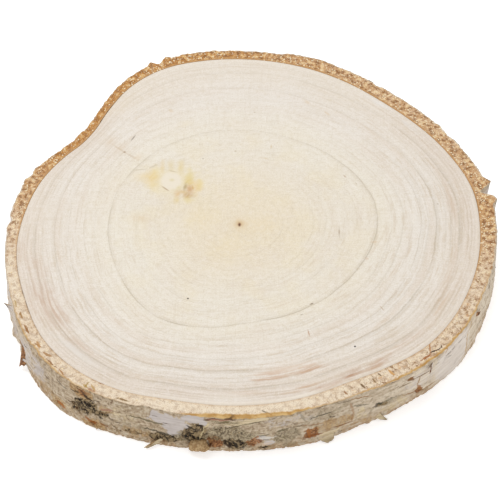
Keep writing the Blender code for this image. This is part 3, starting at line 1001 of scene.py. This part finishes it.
side_colour = blend(times(torn(look["lichen"], 0.3, 0.9), 0.85), side_colour, mossy)
rusty = blend(ramp(speck, 0.4, 0.64), "#633718", "#A37144")
side_colour = blend(times(torn(look["rust"]), 0.9), side_colour, rusty)
sooty_lumps = plus(times(clumps, 0.6), times(speck, 0.4))
sooty = blend(ramp(sooty_lumps, 0.41, 0.55), "#1C0F04", "#8E7A5B")
side_colour = blend(torn(look["dark"], 0.35, 0.75), side_colour, sooty)
side_colour = blend(ramp(look["crack"], 0.35, 0.9, 0, 0.7), side_colour, "#3A2E22")
colour = blend(look["sawn"], side_colour, rim_colour)

# Lines, cracks and small stains on the bark, and painted shadow under the sawn edge: the bearing and the
# depth of each end below the sawn edge (below nought it lies on the rim, that far in), its half width,
# its colour and its strength
BARK_LINES = (
    (204.5, -1.6, 206.5, -1.7, 0.4, "#A88A4E", 0.7),
    (208.5, -2.6, 210.3, -2.6, 0.5, "#946A32", 0.8),
    (212.4, -2.3, 215.3, -2.5, 0.6, "#8C5C28", 0.85),
    (218.2, -1.7, 220, -2.9, 0.45, "#9A6C36", 0.8),
    (220.1, -2.2, 218.2, -3.4, 0.6, "#B08048", 0.7),
    (221.7, -2.8, 223.6, -3.9, 0.6, "#986A34", 0.8),
    (223.7, -1.5, 227, -2.1, 0.45, "#86561F", 0.85),
    (227.5, -2.3, 229.3, -1.7, 0.45, "#9E6E38", 0.8),
    (234.5, -2.3, 235.5, -1.8, 0.6, "#A9843E", 0.7),
    (235, -1.8, 235, -4.2, 0.6, "#9A7A34", 0.7),
    (236, -1.6, 237.5, -1.3, 0.7, "#9B6A48", 0.8),
    (236, -4, 237.5, -1.8, 0.5, "#B08A4A", 0.7),
    (237, -6.2, 238, -6.7, 0.4, "#9A7050", 0.8),
    (242.5, -1.7, 245.5, -1.8, 0.5, "#7F6238", 0.85),
    (228, 3.9, 231, 5.8, 0.4, "#6E675A", 0.8),
    (232, 4, 234, 3.7, 0.45, "#4A3B28", 0.8),
    (233.5, 0.9, 235.5, 3.3, 0.45, "#4A3020", 0.8),
    (231, 12.3, 233.5, 13.3, 0.45, "#4A3420", 0.85),
    (232.7, 13.3, 234, 16.9, 0.5, "#5A3F28", 0.8),
    (235, 3.7, 237.5, 5.4, 0.8, "#2C1D10", 0.9),
    (234.4, 10.1, 236.6, 11, 1.0, "#1E140C", 0.9),
    (236.7, 8.6, 237.8, 10.9, 0.8, "#17100A", 0.9),
    (234.8, 13.7, 235.8, 14.1, 0.8, "#2A1C12", 0.9),
    (239.4, 8.8, 241.8, 7, 0.9, "#9A7560", 0.8),
    (239, 11.2, 241.5, 9.1, 0.6, "#6A4F2C", 0.85),
    (235.7, 17.9, 237.6, 20.1, 1.1, "#8C5420", 0.85),
    (239, 18.3, 241, 19, 0.6, "#7A5028", 0.8),
    (228, 18.9, 230, 19.4, 0.9, "#A9692F", 0.8),
    (241.3, 16.2, 243.5, 19.4, 0.35, "#6E5C42", 0.7),
    (242, 0.1, 241.7, 3.2, 0.35, "#6A5138", 0.7),
    (245.5, 7.9, 249, 7.5, 0.45, "#5E5539", 0.8),
    (248, 7.5, 253.5, 9.2, 0.7, "#6B6148", 0.85),
    (249, 13.4, 252, 14.3, 0.5, "#4C4634", 0.85),
    (251.5, 14.2, 255.5, 15.5, 0.8, "#3E382B", 0.85),
    # Painted shadow: two dark brown lines just under the overhanging golden edge of the rim, from 263 to
    # 269 degrees
    (262.8, 0.9, 266.3, 0.5, 0.5, "#5C3A2C", 0.9),
    (266, 0.9, 269.2, 0.1, 0.55, "#4E3420", 0.9),
    (263.3, 1.0, 268.3, 0.7, 0.4, "#B98A70", 0.6),
    (265.2, 3, 268, 1.7, 0.7, "#5E5030", 0.8),
    (267, 6.4, 270.5, 4.2, 0.45, "#574D34", 0.85),
    (270.3, 4.2, 275.2, 2.1, 0.5, "#6A6048", 0.8),
    (261.4, 14.5, 262.4, 7.6, 0.4, "#CDBB92", 0.8),
    (262.3, 7.6, 263.7, 3, 0.4, "#CDBB92", 0.8),
    (258, 14.4, 259.3, 13.6, 0.9, "#17120C", 0.9),
    (258.7, 7.2, 260.2, 9.1, 0.8, "#2B2319", 0.85),
    (253.4, 16.8, 254.3, 19.8, 0.6, "#2B241A", 0.8),
    (274, 14.4, 278, 13.9, 0.8, "#D2CBBE", 0.75),
    (273.9, 18.6, 277.4, 17.5, 0.7, "#D2BBA4", 0.6),
    (268.9, 16.2, 269.5, 19.4, 1.0, "#15100C", 0.9),
    (267, 17.6, 268, 20.1, 0.8, "#3A291B", 0.85),
    (273.8, 12.8, 276.8, 11.3, 0.5, "#7A735E", 0.8),
    (275, 16.1, 278, 15.3, 0.35, "#9C9078", 0.7),
    (278.5, 10.4, 280.8, 9.9, 0.8, "#5C5238", 0.8),
    (280.3, 9.6, 284.8, 8.8, 0.4, "#6A5A40", 0.75),
    (284, 9.2, 289, 11.1, 0.35, "#84613F", 0.75),
    (283.7, 1.5, 284.7, 6.8, 0.7, "#857A66", 0.6),
    (286, 5.9, 288.1, 5.3, 0.45, "#5C5648", 0.85),
    (287.9, 5.3, 291, 5.2, 0.5, "#55503F", 0.85),
    (285, 18.1, 288.6, 17.8, 0.8, "#7A4418", 0.8),
    (285.4, 12.1, 285.9, 18.6, 0.9, "#9A5E28", 0.7),
    (291.5, 16.3, 296, 16.6, 0.5, "#7A5230", 0.85),
    (295.4, 3.8, 296.5, 11.9, 0.6, "#94683E", 0.45),
    (296.2, 10.9, 295.8, 16.7, 0.5, "#8A5E34", 0.45),
    (295.3, 1.3, 300.2, 3.3, 0.45, "#8A6236", 0.8),
    (293, 0.9, 295.6, 1.9, 0.5, "#6F624E", 0.7),
    (296, 6.3, 300, 9.2, 0.6, "#77705E", 0.7),
    (307.5, 6.3, 310.5, 6.7, 0.4, "#6F5836", 0.8),
    (310, 4, 311.2, 5.2, 1.2, "#7C5730", 0.85),
    (311, 5.2, 316.4, 6.5, 0.4, "#6A553C", 0.8),
    (313.2, 6, 312.6, 11.8, 0.4, "#8F7048", 0.8),
    (312.8, 12.2, 314.1, 17.8, 0.9, "#93612F", 0.8),
    (309, 14.1, 313.5, 17.2, 0.4, "#8A6238", 0.85),
    (314, 18.6, 318.5, 18.7, 0.4, "#8A6A40", 0.8),
    (302.3, 11.3, 303.3, 11.8, 1.0, "#33301F", 0.85),
    (304, 11.9, 307.4, 11.7, 0.6, "#5A5538", 0.6),
    (321.5, 7, 323, 8.2, 0.6, "#A1988C", 0.7),
    (329.7, 5.7, 329.7, 12.7, 0.6, "#B3905A", 0.8),
    (329.7, 12.7, 329.2, 18.7, 0.6, "#B3905A", 0.8),
    (317.8, -3.8, 320.3, -2.6, 0.35, "#33200F", 0.95),
    (320.3, -2.6, 321, -3.3, 0.3, "#4A2E16", 0.9),
    (319.6, -7.6, 317.8, -3.8, 0.35, "#A66A2C", 0.85),
    (321, 0.1, 320.5, 2, 0.4, "#A5702F", 0.85),
    (314.4, -3.2, 317.6, -3.3, 0.6, "#94561C", 0.85),
    (275.4, -4.2, 276, -3.3, 0.4, "#6A5F4E", 0.8),
    (276, -3.6, 277, -2.6, 0.3, "#9C8C70", 0.7),
    (295, -4.4, 295.2, -2.4, 0.5, "#8E6034", 0.8),
    (299.4, -4.9, 299.5, -2.9, 0.6, "#6A4D2A", 0.9),
    (302.5, -6, 302.5, -3.5, 0.35, "#7F623C", 0.8),
    (304.6, -7.6, 304.6, -5.6, 0.4, "#6F5638", 0.85),
    (307.2, -6.5, 307.2, -3.8, 0.7, "#BE8A48", 0.85),
    (308.1, -8.3, 308.3, -7.1, 0.6, "#8A6A48", 0.8),
    (331.4, 1.2, 329.7, 5.6, 0.6, "#B08C58", 0.8),
)
SHAKE = 1.5 * MM
SHAKE_SIZE = 2.4 * MM
shaken = {"Vector": place, "Scale": 1 / SHAKE_SIZE, "Detail": 4.0}
shaken = node(tree, "ShaderNodeTexNoise", shaken).outputs["Color"]
shaken = vectors("SUBTRACT", shaken, (0.5, 0.5, 0.5))
shaken = vectors("MULTIPLY_ADD", shaken, (SHAKE, SHAKE, SHAKE), place)
for start_bearing, start_depth, end_bearing, end_depth, half_width, tint, strength in BARK_LINES:
    ends = []
    for bearing, depth in ((start_bearing, start_depth), (end_bearing, end_depth)):
        height = top - max(depth, 0)
        radius = float(bark_radius(np.array([bearing]), np.array([height]))[0]) + min(depth, 0)
        ends.append(Vector(around(bearing, radius, height)))
    middle = (ends[0] + ends[1]) / 2
    lengthways = ends[1] - ends[0]
    on_rim = start_depth < 0
    facing = Vector((0, 0, 1)) if on_rim else Vector((middle.x - PITH.x, middle.y - PITH.y, 0))
    crossways = facing.cross(lengthways).normalized() / (half_width * MM)
    longest = lengthways.length / 2 + half_width * MM
    from_middle = vectors("SUBTRACT", shaken, middle)
    cross_off = vectors("DOT_PRODUCT", from_middle, crossways).outputs["Value"]
    far = vectors("DOT_PRODUCT", from_middle, from_middle).outputs["Value"]
    far = maths("DIVIDE", far, longest * longest)
    drawn = ramp(maths("MULTIPLY_ADD", cross_off, cross_off, far), 0.4, 1.3, strength, 0)
    colour = blend(drawn, colour, tint)
painted(colour)
embossed(plus(speck, times(fine, 0.6)), 0.5, 0.25)
bark.data.materials.append(bark_finish)
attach(bark, "root")
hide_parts("bark_ring")


# The loose paper: strips of the same thin outer bark that have torn free along one edge. Their
# roots still grow from the bark, and the inner side that shows where they curl is brown.
# Rows hold bearing, height, heading (0 towards growing bearings, 180 back, -90 down), length,
# width, lift and curl in degrees, and the look of the outer and of the inner side.
PEELS = (
    (194.0, 15.0, 0, 8.0, 5.5, 8, 8, "pale", "cream"),
    (205.5, 17.5, 180, 6.5, 4.2, 16, 18, "pale", "tan"),
    (214.6, 11.8, -90, 10.6, 7.4, 20, 6, "rust", "rust"),
    (218.5, 6.0, 180, 8.0, 7.0, 5, 6, "pale", "cream"),
    (228.0, 4.6, -90, 4.2, 6.0, 18, 10, "tan", "tan"),
    (238.0, 4.8, -90, 4.4, 7.0, 22, 12, "tan", "rust"),
    (253.8, 3.4, -166, 10.5, 2.4, 20, 34, "cream", "tan"),
    (261.4, 4.6, -74, 13.8, 10.4, 14, 324, "rust", "tan"),
    (276.0, 9.6, -90, 5.6, 7.0, 7, 4, "pale", "pale"),
    (289.6, 4.6, -74, 6.4, 8.5, 28, 10, "cream", "tan"),
    (301.6, 5.2, -48, 8.5, 3.6, 22, 12, "cream", "tan"),
    (318.0, 20.0, 180, 8.0, 3.6, 14, 20, "pale", "rust"),
    (333.0, 19.5, 0, 5.0, 3.4, 18, 20, "rust", "rust"),
)
ROOT_DEPTH = 1.4
TIP_NARROWS = 0.45
TIP_TEETH = 3
TIP_RAGGED = 0.3
TIP_TORN = 0.14
SIDES_TORN = 0.2
ROUND_CORNERS = 0.34
WAVE = 0.25
WHOLE_PATCH = 1.3
CLEARANCE = 0.8
PAPER = 0.34
BACK_PEELS = 14
PEELS_FROM = 17
PEELS_TO = 188
BACK_TOP = 20


def back_peels(draw):
    """Rows for the strips on the side that faces away, in the manner of those in front."""
    rows = []
    for index in range(BACK_PEELS):
        share = (index + draw.uniform(0.15, 0.85)) / BACK_PEELS
        heading = draw.choice((0, 180, -90))
        width = draw.uniform(3.0, 9.0)
        length = draw.uniform(4.5, 8.5)
        lowest = length + 1 if heading == -90 else width / 2 + 1
        highest = BACK_TOP if heading == -90 else BACK_TOP - width / 2
        height = lowest + (highest - lowest) * draw.random() ** 1.5
        lift = draw.uniform(8, 20)
        curl = draw.uniform(5, 30)
        sides = (("pale", "rust"), ("cream", "rust"), ("pale", "cream"))[index % 3]
        bearing = PEELS_FROM + (PEELS_TO - PEELS_FROM) * share
        rows.append((bearing, height, heading, length, width, lift, curl, *sides))
    return rows


def jagged(places, fineness, *spot):
    """Noise along a torn edge, with a value for each place on it."""
    rows = np.stack(np.broadcast_arrays(places * fineness, *spot), axis=-1)
    return lumps(rows, 1)


draw = random.Random(20)
paper_points, paper_faces = [], []
paper_looks = {kind: [] for kind in (*KINDS, "fair")}
point_count = 0
for row in (*PEELS, *back_peels(draw)):
    bearing, height, heading, length, width, lift, curl, outer_look, inner_look = row
    teeth = draw.uniform(0, 50)
    along_steps = 9 + round(length) + round(curl / 8)
    across_steps = 6 + round(width * 1.3)
    u = np.linspace(0, 1, along_steps)[:, None]
    v = np.linspace(-0.5, 0.5, across_steps)[None, :]
    angle = math.radians(bearing)
    outward = np.array([math.cos(angle), math.sin(angle), 0])
    sideways = np.array([-math.sin(angle), math.cos(angle), 0])
    upward = np.array([0, 0, 1])
    turn = math.radians(heading)
    run = sideways * math.cos(turn) + upward * math.sin(turn)
    across = upward * math.cos(turn) - sideways * math.sin(turn)
    root = float(bark_radius(np.array([bearing]), np.array([height]))[0]) - ROOT_DEPTH
    root = outward * root + upward * height
    ragged_tip = jagged(v, TIP_TEETH, teeth, 0) * TIP_RAGGED
    torn_tip = jagged(v, width * 1.1, teeth, 5) * TIP_TORN * u
    reach = length * (1 + ragged_tip + torn_tip) * (1 - ROUND_CORNERS * (2 * v) ** 4)
    start, bend = math.radians(lift), math.radians(curl)
    slope = start + bend * u
    forth = reach * (np.sin(slope) - math.sin(start)) / bend
    out = reach * (math.cos(start) - np.cos(slope)) / bend
    torn_sides = jagged(u, length * 0.8, teeth, 9) * SIDES_TORN * u
    aside = v * width * (1 - TIP_NARROWS * u * u) * (1 + torn_sides)
    out = out + np.cos(v * 7 + teeth) * WAVE * u
    sheet = root + run * forth[..., None] + across * aside[..., None] + outward * out[..., None]
    sheet[..., 2] = np.clip(sheet[..., 2], CLEARANCE, top - CLEARANCE)
    facing = np.cross(np.gradient(sheet, axis=0), np.gradient(sheet, axis=1))
    facing /= np.maximum(np.linalg.norm(facing, axis=-1, keepdims=True), 1e-6)
    if (facing[0, across_steps // 2] * outward).sum() < 0:
        facing = -facing
    half = PAPER / 2 * (1.25 - 0.6 * u)[..., None]
    outer_side, inner_side = sheet + facing * half, sheet - facing * half
    loops = np.concatenate([outer_side, inner_side[:, ::-1]], axis=1)
    corner = loops[0, across_steps - 1] - loops[0, 0]
    if np.dot(np.cross(corner, loops[1, 0] - loops[0, 0]), outward) < 0:
        loops = loops[:, ::-1]
        order = (inner_look, outer_look)
    else:
        order = (outer_look, inner_look)
    points, faces = shell(loops * MM + np.array(PITH), False)
    paper_points.append(points)
    paper_faces += [tuple(index + point_count for index in face) for face in faces]
    point_count += len(points)
    for kind in KINDS:
        shares = np.repeat([WHOLE_PATCH * (side == kind) for side in order], across_steps)
        paper_looks[kind].append(with_ends(np.tile(shares, (along_steps, 1))))
    fair = float(along(np.array([bearing]), BARK_LOOKS, LOOKS["fair"])[0])
    paper_looks["fair"].append(np.full(len(points), fair))
paper_looks = {kind: np.concatenate(values) for kind, values in paper_looks.items()}
loose_paper = piece("loose_paper_bark", np.concatenate(paper_points), paper_faces, **paper_looks)
loose_paper.data.materials.append(bark_finish)
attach(loose_paper, "root")
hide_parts("bark_ring")


# Grains and crumbs: hard pale grains of stone cells that stand proud of the sawn rim, crumbs of
# weathered bark on the rough patches of the side, and the thin dark breathing pores of its paper.
# Each is scattered over the bark by one node tree, thickest where the bark's attribute is high.
def scatter_tree():
    """A node tree that sets small flattened lumps on a mesh, half sunk in its surface."""
    tree = bpy.data.node_groups.new("scattered_lumps", "GeometryNodeTree")
    inputs = {
        "Bark": "Geometry",
        "Where": "String",
        "Per Square Metre": "Float",
        "Smallest": "Float",
        "Largest": "Float",
        "Proportions": "Vector",
        "Level": "Float",
        "Seed": "Int",
        "Finish": "Material",
    }
    for label, kind in inputs.items():
        tree.interface.new_socket(label, in_out="INPUT", socket_type="NodeSocket" + kind)
    tree.interface.new_socket("Lumps", in_out="OUTPUT", socket_type="NodeSocketGeometry")
    given = node(tree, "NodeGroupInput").outputs
    where = node(tree, "GeometryNodeInputNamedAttribute", {"Name": given["Where"]}).outputs["Attribute"]
    density = {0: where, 1: given["Per Square Metre"]}
    density = node(tree, "ShaderNodeMath", density, operation="MULTIPLY")
    spread = {"Mesh": given["Bark"], "Density": density, "Seed": given["Seed"]}
    spots = node(tree, "GeometryNodeDistributePointsOnFaces", spread)
    shade = node(tree, "FunctionNodeRandomValue", {"Seed": given["Seed"]}, data_type="FLOAT")
    kept = {"Geometry": spots.outputs["Points"], "Name": "shade", "Value": shade}
    marked = node(tree, "GeometryNodeStoreNamedAttribute", kept)
    whirl = {"Min": (0, 0, 0), "Max": (0, 0, 2 * math.pi), "Seed": given["Seed"]}
    whirl = node(tree, "FunctionNodeRandomValue", whirl, data_type="FLOAT_VECTOR")
    normal = spots.outputs["Normal"]
    upright = {"Rotation": whirl, "Vector": normal}
    upright = node(tree, "FunctionNodeAlignRotationToVector", upright, axis="Z")
    level_line = node(tree, "ShaderNodeVectorMath", {0: (0, 0, 1), 1: normal}, operation="CROSS_PRODUCT")
    levelled = {"Rotation": upright, "Factor": given["Level"], "Vector": level_line}
    levelled = node(tree, "FunctionNodeAlignRotationToVector", levelled, axis="X", pivot_axis="Z")
    sizes = {"Min": given["Smallest"], "Max": given["Largest"], "Seed": given["Seed"]}
    sizes = node(tree, "FunctionNodeRandomValue", sizes, data_type="FLOAT")
    scale = {0: given["Proportions"], "Scale": sizes}
    scale = node(tree, "ShaderNodeVectorMath", scale, operation="SCALE")
    lump = node(tree, "GeometryNodeMeshIcoSphere", {"Radius": 1.0, "Subdivisions": 1})
    placed = {"Points": marked, "Instance": lump.outputs["Mesh"], "Rotation": levelled, "Scale": scale}
    placed = node(tree, "GeometryNodeInstanceOnPoints", placed)
    solid = node(tree, "GeometryNodeRealizeInstances", {"Geometry": placed})
    finished = node(tree, "GeometryNodeSetMaterial", {"Geometry": solid, "Material": given["Finish"]})
    node(tree, "NodeGroupOutput", {"Lumps": finished})
    return tree


SQUARE_MM = MM * MM
lumps_tree = scatter_tree()


def scattered(name, finish, where, per_square_mm, smallest, largest, proportions, level, seed):
    """Lumps scattered over the bark, as one plain mesh that stands for part of the bark."""
    thing = in_scene(name, bark.data)
    scatter = thing.modifiers.new("scatter", "NODES")
    scatter.node_group = lumps_tree
    settings = {
        "Where": where,
        "Per Square Metre": per_square_mm / SQUARE_MM,
        "Smallest": smallest * MM,
        "Largest": largest * MM,
        "Proportions": proportions,
        "Level": level,
        "Seed": seed,
        "Finish": finish,
    }
    for socket in lumps_tree.interface.items_tree:
        if socket.name in settings:
            scatter[socket.identifier] = settings[socket.name]
    bpy.context.view_layer.update()
    graph = bpy.context.evaluated_depsgraph_get()
    mesh = bpy.data.meshes.new_from_object(thing.evaluated_get(graph))
    mesh.name = name
    thing.modifiers.clear()
    thing.data = mesh
    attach(thing, "root")
    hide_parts("bark_ring")


# Stone cells: pale, hard and a little glossy
grain_finish, tree, shader = finish_of("stone_cell_grains", 0.55)
shade = stored("shade")
painted(blend(shade, "#BE9C6C", "#E4D2B0"))

# Crumbs: weathered bark, from nearly black to pale
crumb_finish, tree, shader = finish_of("crumbled_bark", 0.9)
shade = stored("shade")
crumb_colour = blend(ramp(shade, 0.0, 0.7), "#43331F", "#8E7650")
painted(blend(ramp(shade, 0.7, 1.0), crumb_colour, "#B39F7C"))

# Breathing pores: corky and dark
pore_finish, tree, shader = finish_of("corky_pores", 0.9)
shader.inputs["Base Color"].default_value = linear("#5B4937")

scattered("rim_grains", grain_finish, "grains", 0.62, 0.22, 0.6, (1, 0.7, 0.34), 0, 3)
scattered("side_crumbs", crumb_finish, "crumbs", 0.5, 0.16, 0.5, (1, 0.65, 0.42), 0, 5)
scattered("side_pores", pore_finish, "papery", 0.012, 0.7, 2.0, (1, 0.1, 0.06), 1, 8)


# The setting: a plain white floor under a soft box and an even white sky.
HALF_FLOOR = 3.0
FLOOR_GAP = 0.2 * MM
floor_mesh = bpy.data.meshes.new("floor")
corners = [(x * HALF_FLOOR, y * HALF_FLOOR, 0) for x, y in ((-1, -1), (1, -1), (1, 1), (-1, 1))]
floor_mesh.from_pydata(corners, [], [(0, 1, 2, 3)])
floor = in_scene("floor", floor_mesh)
floor.location.z = -FLOOR_GAP
floor_finish, tree, shader = finish_of("white_light_table", 0.9)
shader.inputs["Base Color"].default_value = (0.75, 0.75, 0.75, 1)
shader.inputs["Emission Color"].default_value = (1, 1, 1, 1)
shader.inputs["Emission Strength"].default_value = 0.53
floor_mesh.materials.append(floor_finish)

world = bpy.data.worlds.new("white_sky")
bpy.context.scene.world = world
world.use_nodes = True
world.node_tree.nodes["Background"].inputs["Color"].default_value = (1, 1, 1, 1)
world.node_tree.nodes["Background"].inputs["Strength"].default_value = 0.72


def soft_box(name, place, aim, size, power):
    """A square lamp that faces a point."""
    lamp = bpy.data.lights.new(name, "AREA")
    lamp.size = size
    lamp.energy = power
    thing = in_scene(name, lamp)
    thing.location = place
    thing.rotation_euler = (Vector(aim) - Vector(place)).to_track_quat("-Z", "Y").to_euler()


soft_box("overhead", (-0.3, 0.25, 1.3), (0, 0, 0), 0.9, 10)
bpy.context.scene.view_settings.view_transform = "Standard"
